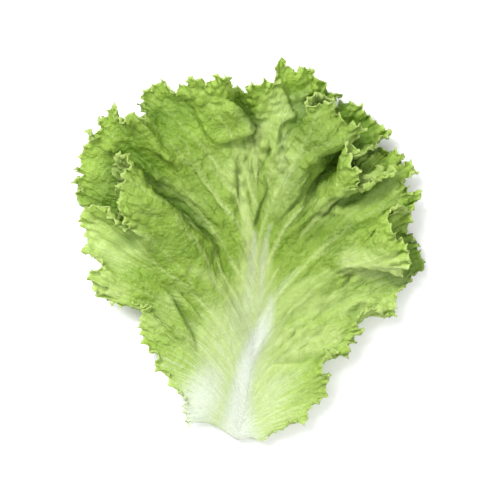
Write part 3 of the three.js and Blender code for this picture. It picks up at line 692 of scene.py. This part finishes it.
# The shell of the leaf
# The upper and lower faces of the blade, half a millimetre apart, and much thicker along the
# midrib. Under the midrib a small flat spot rests on the table.
way = normals(blade)
for _ in range(3):
    way = unit(way + EASING_SHARE * (around(way) - way))
gaps = np.linalg.norm(blade[:, None, :2] - midrib[None, ::4, :2], axis=-1)
nearest = gaps.argmin(axis=1) / (len(midrib[::4]) - 1)
distance = gaps.min(axis=1)
rib_depth = RIB_DEPTH_AT_BASE + (RIB_DEPTH_AT_TIP - RIB_DEPTH_AT_BASE) * nearest
narrowing = np.minimum(nearest * RIB_NARROWING, 1)
half_width = RIB_HALF_WIDTH_AT_BASE + (
    RIB_HALF_WIDTH_AT_TIP - RIB_HALF_WIDTH_AT_BASE) * narrowing
rib_thickness = rib_depth * np.exp(-((distance / half_width) ** 2))
upper = blade + way * BLADE_THICKNESS / 2
upper[:, 2] = np.maximum(upper[:, 2], BLADE_THICKNESS)
over = np.maximum(upper[:, 2] - CURL_BEND, 0) / (CURL_TOP - CURL_BEND)
blade[:, 2] -= np.maximum(upper[:, 2] - CURL_BEND, 0) - (CURL_TOP - CURL_BEND) * np.tanh(over)
upper = blade + way * BLADE_THICKNESS / 2
upper[:, 2] = np.maximum(upper[:, 2], BLADE_THICKNESS)
lower = blade - way * BLADE_THICKNESS / 2
lower[:, 2] = np.maximum(lower[:, 2] - rib_thickness, 0)
resting = np.hypot(lower[:, 0] / REST_HALF_WIDTH, lower[:, 1] / REST_HALF_LENGTH) < 1
lower[resting, 2] = 0

rim = np.concatenate([ring_points[0], [points[-1] for points in ring_points[1:-1]],
    [midrib_points[0]], [points[0] for points in ring_points[-2:0:-1]]])
next_rim = np.roll(rim, -1)
count = len(blade)
shell_faces = np.concatenate([
    faces,
    faces[:, [0, 2, 1]] + count,
    np.stack([rim, next_rim, rim + count], axis=1),
    np.stack([next_rim, next_rim + count, rim + count], axis=1),
])
shell_points = np.concatenate([upper, lower])

mesh = bpy.data.meshes.new("lettuce_leaf")
mesh.from_pydata((shell_points / 1000).tolist(), [], shell_faces.tolist())
mesh.polygons.foreach_set("use_smooth", [True] * len(shell_faces))


def give(name, values):
    """Keeps a value for each point of both faces, for the material to read."""
    attribute = mesh.attributes.new(name, "FLOAT", "POINT")
    attribute.data.foreach_set("value", np.tile(values, 2).astype(np.float32))


place_y = REST_PLACE[1] - blade[:, 1] / PLACE_STEP
white = np.maximum.reduce([
    line_mask([(237, 438), (238, 410), (242, 384), (248, 360), (255, 343), (262, 329), (267, 314),
        (271, 299)], [17, 11, 8, 7, 7, 7, 6, 4]) * (0.55 + 0.45 * smoothstep(295, 345, place_y)),
    0.88 * line_mask([(190, 426), (202, 395), (211, 365), (218, 335)], [16, 17, 13, 7])
        * smoothstep(318, 400, place_y),
    0.38 * line_mask([(271, 299), (281, 287), (298, 268)], [4, 3, 2]),
    0.44 * line_mask([(262, 329), (258, 310), (261, 290), (262, 269), (264, 252), (270, 225)],
        [6, 5, 4, 3, 3, 2]),
    0.46 * line_mask([(248, 335), (248, 310), (250, 290), (252, 268), (253, 250), (255, 232)],
        [8, 8, 6, 4, 3, 2]),
    0.4 * line_mask([(260, 430), (266, 405), (276, 384), (292, 370)], [14, 14, 13, 10])
        * smoothstep(345, 385, place_y),
    0.3 * line_mask([(166, 364), (190, 372)], [13, 12]),
    0.3 * line_mask([(286, 182), (282, 155), (283, 122)], [5, 4, 3]),
    0.22 * line_mask([(285, 178), (298, 158), (310, 140)], [4, 3, 2]),
    0.4 * line_mask([(222, 430), (231, 380), (240, 340), (246, 300)], [45, 42, 32, 10]),
])
# Pale rib tissue; some of these patches are painted light, laid on stretches that lie in the shade of
# folds and of the curl
pale_and_painted_light = np.maximum.reduce([
    line_mask([(228, 440), (236, 400), (244, 350), (252, 300), (254, 250)], [50, 48, 37, 15, 8]),
    line_mask([(258, 300), (264, 262), (266, 240)], [7, 5, 2]),
    line_mask([(250, 290), (249, 235), (243, 200), (240, 178)], [6, 5, 3, 2]),
    0.6 * line_mask([(262, 330), (286, 300), (310, 282), (340, 268)], [12, 10, 5, 2]),
    0.8 * line_mask([(270, 365), (300, 345), (330, 335)], [16, 15, 10]),
    0.6 * line_mask([(240, 300), (215, 280), (190, 268)], [10, 7, 3]),
    0.35 * line_mask([(236, 142), (240, 190), (246, 240)], [4, 4, 3]),
    0.6 * line_mask([(252, 150), (253, 190), (251, 240)], [4, 4, 3]),
    0.4 * line_mask([(150, 182), (174, 190), (198, 202)], [7, 9, 8]),
    0.8 * line_mask([(88, 240), (106, 254), (132, 244)], [16, 18, 12]),
    0.5 * line_mask([(136, 320), (158, 322), (176, 296)], [14, 14, 10]),
    0.6 * line_mask([(296, 308), (322, 304), (350, 304), (392, 300)], [15, 14, 14, 12]),
    0.85 * line_mask([(350, 262), (380, 268), (402, 280)], [9, 13, 11]),
    0.65 * line_mask([(240, 175), (256, 146), (266, 124)], [15, 16, 12]),
    0.8 * line_mask([(98, 290), (118, 292)], [12, 9]),
    0.7 * line_mask([(98, 262), (106, 278)], [10, 10]),
    0.8 * line_mask([(280, 108), (296, 106)], [12, 9]),
    0.5 * line_mask([(322, 208), (345, 202), (372, 194), (392, 190)], [12, 13, 13, 10]),
    0.55 * line_mask([(278, 200), (282, 170), (276, 130)], [12, 14, 12]),
    0.5 * line_mask([(356, 150), (368, 180)], [9, 9]),
])
# Painted shade: where the blade is painted a deeper green, for the shade in its creases, hollows and
# shaded stretches
painted_shade = np.maximum.reduce([
    0.8 * line_mask([(298, 112), (308, 136), (326, 156)], [12, 15, 13]),
    0.6 * line_mask([(138, 132), (152, 118)], [10, 8]),
    0.5 * line_mask([(184, 240), (206, 230), (192, 208)], [9, 10, 8]),
    1.4 * line_mask([(212, 240), (202, 227), (190, 217), (174, 204), (158, 194)], [2, 3, 5, 3, 2]),
    0.7 * line_mask([(282, 216), (290, 196), (304, 180)], [9, 10, 10]),
    0.6 * line_mask([(334, 244), (318, 226), (322, 214)], [13, 12, 8]),
    1.9 * line_mask([(241, 111), (249, 117), (256, 127)], [1.5, 4.5, 3]),
    0.4 * line_mask([(160, 132), (172, 118), (190, 104)], [8, 10, 8]),
    0.4 * line_mask([(196, 172), (212, 168)], [10, 10]),
    0.65 * line_mask([(158, 250), (176, 246)], [10, 10]),
    0.5 * line_mask([(124, 160), (128, 186)], [9, 9]),
    0.7 * line_mask([(342, 120), (354, 132)], [10, 9]),
    0.5 * line_mask([(310, 114), (330, 106), (348, 124)], [11, 10, 9]),
    0.4 * line_mask([(222, 166), (242, 184), (246, 208)], [9, 9, 9]),
    0.4 * line_mask([(324, 248), (346, 250), (368, 252)], [11, 11, 9]),
    0.35 * line_mask([(146, 206), (154, 214)], [9, 9]),
    0.3 * line_mask([(150, 286), (166, 306)], [9, 9]),
    0.3 * line_mask([(296, 284), (316, 282)], [9, 9]),
])

# How far each point lies below the blade round it, which darkens the colour there as painted shade
CELL = 2
CELLS_ROUND = 12
BELL_REACH = 9
BELL_SPREAD = 3.0

cells = ((blade[:, :2] - blade[:, :2].min(axis=0)) / CELL).astype(int) + CELLS_ROUND
grid = np.zeros((2, *(cells.max(axis=0) + CELLS_ROUND + 1)))
np.add.at(grid[0], (cells[:, 0], cells[:, 1]), blade[:, 2])
np.add.at(grid[1], (cells[:, 0], cells[:, 1]), 1)
bell = np.exp(-0.5 * (np.arange(-BELL_REACH, BELL_REACH + 1) / BELL_SPREAD) ** 2)
for axis in (1, 2):
    grid = np.apply_along_axis(lambda row: np.convolve(row, bell, "same"), axis, grid)
level = (grid[0] / np.maximum(grid[1], 1e-6))[cells[:, 0], cells[:, 1]]
hollow = level - blade[:, 2]
give("white", white)
give("pale_and_painted_light", pale_and_painted_light)
give("painted_shade", painted_shade)
give("vein", vein)
give("net", net)
give("tint", tint)
give("from_edge", from_edge)
give("hollow", hollow)
under = mesh.attributes.new("underside", "FLOAT", "POINT")
under.data.foreach_set("value", np.repeat([0, 1], count).astype(np.float32))
layout = mesh.uv_layers.new(name="blade")
along = np.stack([blade_share * 600, from_midrib], axis=-1)
corners = np.zeros(len(mesh.loops), np.int32)
mesh.loops.foreach_get("vertex_index", corners)
layout.data.foreach_set("uv", np.tile(along, (2, 1))[corners].ravel().astype(np.float32))
mesh.validate()
leaf = bpy.data.objects.new("lettuce_leaf", mesh)
bpy.context.collection.objects.link(leaf)


# Leaf tissue
# Thin green tissue, nearly white where it is all rib, with a pale net of veins, a waxy gloss and
# light coming through it. Everything follows the values that the blade keeps.
STUDIO_LIGHT = 1.04


def colour(red, green, blue):
    """A colour as it looks on a screen, 0 to 255, made linear and matched to the studio light."""
    linear = [((c / 255 + 0.055) / 1.055) ** 2.4 / STUDIO_LIGHT for c in (red, green, blue)]
    return (*linear, 1)


tissue = bpy.data.materials.new("lettuce_tissue")
tissue.use_nodes = True
nodes = tissue.node_tree.nodes
links = tissue.node_tree.links
nodes.clear()


def node(kind, inputs=(), **settings):
    made = nodes.new(kind)
    for key, value in settings.items():
        setattr(made, key, value)
    for key, value in dict(inputs).items():
        if isinstance(value, bpy.types.NodeSocket):
            links.new(value, made.inputs[key])
        else:
            made.inputs[key].default_value = value
    return made


def kept(name):
    return node("ShaderNodeAttribute", attribute_name=name).outputs["Fac"]


def maths(operation, first, second=0.0):
    return node("ShaderNodeMath", {0: first, 1: second}, operation=operation).outputs[0]


def ranged(value, low, high, to_low=0.0, to_high=1.0):
    made = node("ShaderNodeMapRange", {"Value": value, "From Min": low, "From Max": high,
        "To Min": to_low, "To Max": to_high}, interpolation_type="SMOOTHSTEP")
    return made.outputs["Result"]


def blended(share, first, second, blend="MIX"):
    made = node("ShaderNodeMix", {0: share, 6: first, 7: second}, data_type="RGBA",
        blend_type=blend)
    return made.outputs[2]


place = node("ShaderNodeTexCoord").outputs["Object"]
flat_place = node("ShaderNodeUVMap", uv_map="blade").outputs["UV"]


def mottle(scale, detail=2.0, where=place, stretch_by=(1, 1, 1)):
    moved = node("ShaderNodeMapping", {"Vector": where, "Scale": stretch_by}).outputs[0]
    return node("ShaderNodeTexNoise", {"Vector": moved, "Scale": scale, "Detail": detail,
        "Roughness": 0.6}).outputs["Fac"]


patches = ranged(mottle(55), 0.35, 0.65)
grain = mottle(700, 3)
fibres = mottle(1, 3, flat_place, (1.1, 0.05, 1))
streak = maths("SUBTRACT", fibres, 0.5)
base = blended(patches, colour(138, 174, 54), colour(163, 197, 76))
wide_patches = ranged(mottle(22, 3), 0.42, 0.68, 0.0, 0.6)
base = blended(wide_patches, base, colour(182, 210, 106))
edge_tint = ranged(kept("from_edge"), 0.0, 18.0, 1.0, 0.0)
base = blended(maths("MULTIPLY", edge_tint, 0.75), base, colour(180, 211, 92))
base = blended(ranged(kept("tint"), -1, 1, 0.0, 0.3), base, colour(172, 207, 82))
# Painted shade: the deeper green of the creases, hollows and shaded stretches
base = blended(maths("MULTIPLY", kept("painted_shade"), 0.52), base, colour(86, 122, 32))
net_line = ranged(kept("net"), 0.0, 0.9, 1.0, 0.0)
base = blended(maths("MULTIPLY", net_line, 0.42), base, colour(196, 222, 122))
vein_share = maths("MULTIPLY", kept("vein"), ranged(kept("from_edge"), 5, 70, 0.35, 0.85))
base = blended(vein_share, base, colour(208, 228, 144))
# Pale rib tissue and painted light: a lighter green where that mask is set
streak_share = ranged(kept("pale_and_painted_light"), 0.1, 0.8, 0.6, 1.3)
paler = maths("ADD", kept("pale_and_painted_light"), maths("MULTIPLY", streak, streak_share))
base = blended(ranged(paler, 0.1, 1.0, 0.0, 0.85), base, colour(208, 228, 142))
threads = ranged(mottle(1, 2, flat_place, (2.4, 0.03, 1)), 0.5, 0.68)
threads = maths("MULTIPLY", threads, ranged(kept("pale_and_painted_light"), 0.3, 1.0, 0.0, 0.55))
base = blended(threads, base, colour(224, 237, 188))
whiter = maths("ADD", kept("white"), maths("MULTIPLY", streak, 1.1))
base = blended(ranged(whiter, 0.15, 0.85), base, colour(227, 236, 213))
base = blended(ranged(kept("white"), 0.7, 1.0), base, colour(241, 246, 235))
# Painted highlight: the last millimetre or two of the margin is painted lighter
base = blended(ranged(kept("from_edge"), 0.2, 1.8, 0.6, 0.0), base, colour(218, 238, 146))
base = blended(ranged(grain, 0.3, 0.7, 0.0, 0.12), base, colour(120, 160, 50))
# Painted shade: points lying below the blade round them are painted a darker green
painted_hollow_shade = maths("MULTIPLY", ranged(kept("hollow"), 0.5, 7.0, 0.0, 0.62),
    maths("SUBTRACT", 1.0, kept("white")))
base = blended(painted_hollow_shade, base, colour(92, 136, 14))
base = blended(maths("MULTIPLY", kept("underside"), 0.35), base, colour(196, 216, 130))

wrinkles = mottle(260, 4)
height = maths("MULTIPLY", grain, 0.25)
height = maths("ADD", height, maths("MULTIPLY", fibres, 0.5))
wrinkled_part = maths("MULTIPLY", maths("SUBTRACT", 1.0, kept("pale_and_painted_light")), 2.2)
height = maths("ADD", height, maths("MULTIPLY", wrinkles, wrinkled_part))
fine_net = node("ShaderNodeTexVoronoi", {"Vector": place, "Scale": 420.0},
    feature="SMOOTH_F1").outputs["Distance"]
net_part = maths("MULTIPLY", wrinkled_part, 0.36)
height = maths("SUBTRACT", height, maths("MULTIPLY", fine_net, net_part))
bump = node("ShaderNodeBump", {"Height": height, "Strength": 0.9, "Distance": 0.0014})
roughness = ranged(mottle(160), 0.3, 0.7, 0.19, 0.36)
skin = node("ShaderNodeBsdfPrincipled", {"Base Color": base, "Roughness": roughness,
    "Normal": bump.outputs[0], "Specular IOR Level": 0.42})
through_light = node("ShaderNodeBsdfTranslucent", {"Color": base, "Normal": bump.outputs[0]})
mixed = node("ShaderNodeMixShader", {0: 0.38, 1: skin.outputs[0], 2: through_light.outputs[0]})
node("ShaderNodeOutputMaterial", {"Surface": mixed.outputs[0]})
mesh.materials.append(tissue)

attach(leaf, "root")
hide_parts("leaf")


# The table, the light and the camera
# A white table top without an edge in view, soft light from the upper left with an even fill, and
# a camera straight above the leaf.
VIEW_CENTRE = (246, 246)
VIEW_PLACES = 492
CAMERA_DISTANCE = 2.4
SENSOR_WIDTH = 36
TABLE_SIZE = 6

table = bpy.data.meshes.new("table_top")
half = TABLE_SIZE / 2
table.from_pydata([(-half, -half, 0), (half, -half, 0), (half, half, 0), (-half, half, 0)], [],
    [(0, 1, 2, 3)])
floor = bpy.data.objects.new("table_top", table)
bpy.context.collection.objects.link(floor)
lacquer = bpy.data.materials.new("white_lacquer")
lacquer.use_nodes = True
gloss = lacquer.node_tree.nodes["Principled BSDF"].inputs
gloss["Base Color"].default_value = (0.97, 0.97, 0.97, 1)
gloss["Roughness"].default_value = 0.7
table.materials.append(lacquer)


def lamp(name, where, size, power):
    made = bpy.data.lights.new(name, "AREA")
    made.size = size
    made.energy = power
    lit = bpy.data.objects.new(name, made)
    lit.location = where
    lit.rotation_euler = (-Vector(where)).to_track_quat("-Z", "Y").to_euler()
    bpy.context.collection.objects.link(lit)


lamp("key_light", where=(-0.85, 0.9, 1.5), size=1.1, power=33.9)
lamp("window_light", where=(-0.9, 1.0, 1.5), size=0.13, power=15)
lamp("fill_light", where=(0.9, -0.7, 1.8), size=1.4, power=14)
world = bpy.data.worlds.new("studio")
world.use_nodes = True
world.node_tree.nodes["Background"].inputs["Color"].default_value = (1, 1, 1, 1)
world.node_tree.nodes["Background"].inputs["Strength"].default_value = 0.75
bpy.context.scene.world = world
bpy.context.scene.view_settings.view_transform = "Standard"

centre = at_place(*VIEW_CENTRE)
lens_view = bpy.data.cameras.new("view")
lens_view.sensor_width = SENSOR_WIDTH
lens_view.lens = SENSOR_WIDTH * CAMERA_DISTANCE / (VIEW_PLACES * PLACE_STEP / 1000)
lens_view.clip_end = 20
camera = bpy.data.objects.new("view", lens_view)
camera.location = (centre[0] / 1000, centre[1] / 1000, CAMERA_DISTANCE)
bpy.context.collection.objects.link(camera)
bpy.context.scene.camera = camera


bpy.context.view_layer.update()
